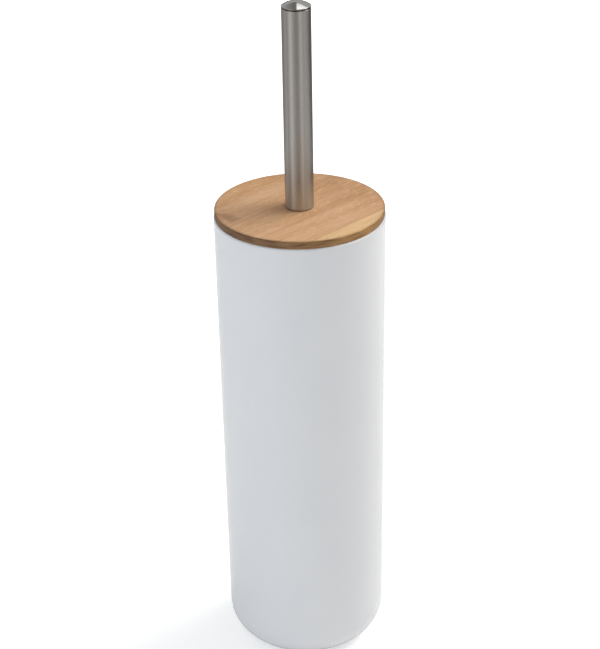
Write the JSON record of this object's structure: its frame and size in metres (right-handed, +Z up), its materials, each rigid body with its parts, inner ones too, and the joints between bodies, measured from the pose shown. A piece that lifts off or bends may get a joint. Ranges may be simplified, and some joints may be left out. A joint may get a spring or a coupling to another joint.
{
  "type": "toilet brush holder",
  "caption": "Tall free-standing toilet brush set: white plastic cup with a rounded base, flush bamboo lid that lifts out with the brush, and a satin steel tube handle with a domed cap.",
  "frame": {"origin": "on the floor under the middle of the cup, at the foot ring's underside", "axes": "+Z up along the cup, lid and handle's common axis; +X and +Y are free, as the shapes are turned"},
  "size_m": [0.096, 0.096, 0.4],
  "materials": {
    "cup": "glossy moulded white polypropylene",
    "foot": "soft grey thermoplastic rubber",
    "bamboo": "oiled laminated bamboo with straight grain",
    "moulded_white": "moulded white polypropylene",
    "steel": "plain bright stainless steel",
    "satin_steel": "satin brushed stainless steel tube",
    "polished_steel": "turned and polished stainless steel",
    "nylon": "natural white nylon",
    "brass": "turned brass",
    "seal": "black rubber",
    "bristle": "white nylon filament"
  },
  "bodies": {
    "holder": {"holder_cup": "cup", "foot_ring": "foot"},
    "lid": {"lid_disc": "bamboo", "lid_plug": "moulded_white", "lid_screws": "steel"},
    "brush": {"handle_tube": "satin_steel", "handle_cap": "polished_steel", "handle_plug": "nylon", "thread_insert": "brass", "tie_stud": "steel", "stem_coupler": "nylon", "stem_tube": "satin_steel", "stem_foot": "nylon"},
    "seal": {"head_seal": "seal"},
    "head": {"head_core": "moulded_white", "bristle_barrel": "bristle", "bristle_tip": "bristle"}
  },
  "joints": [
    {"name": "brush_lift", "type": "slide", "parent": "holder", "child": "lid", "axis": [0, 0, 1], "range_m": [0, 0.3]},
    {"name": "brush_turn", "type": "hinge", "parent": "lid", "child": "brush", "pos_m": [0, 0, 0.278], "axis": [0, 0, 1], "continuous": true},
    {"name": "head_drop", "type": "slide", "parent": "brush", "child": "seal", "axis": [0, 0, -1], "range_m": [0, 0.012]},
    {"name": "head_turn", "type": "hinge", "parent": "seal", "child": "head", "pos_m": [0, 0, 0.1], "axis": [0, 0, -1], "range_deg": [0, 1440]}
  ],
  "couplings": [
    {"joint": "head_drop", "follows": "head_turn", "m_per_rad": 0.00047746}
  ]
}
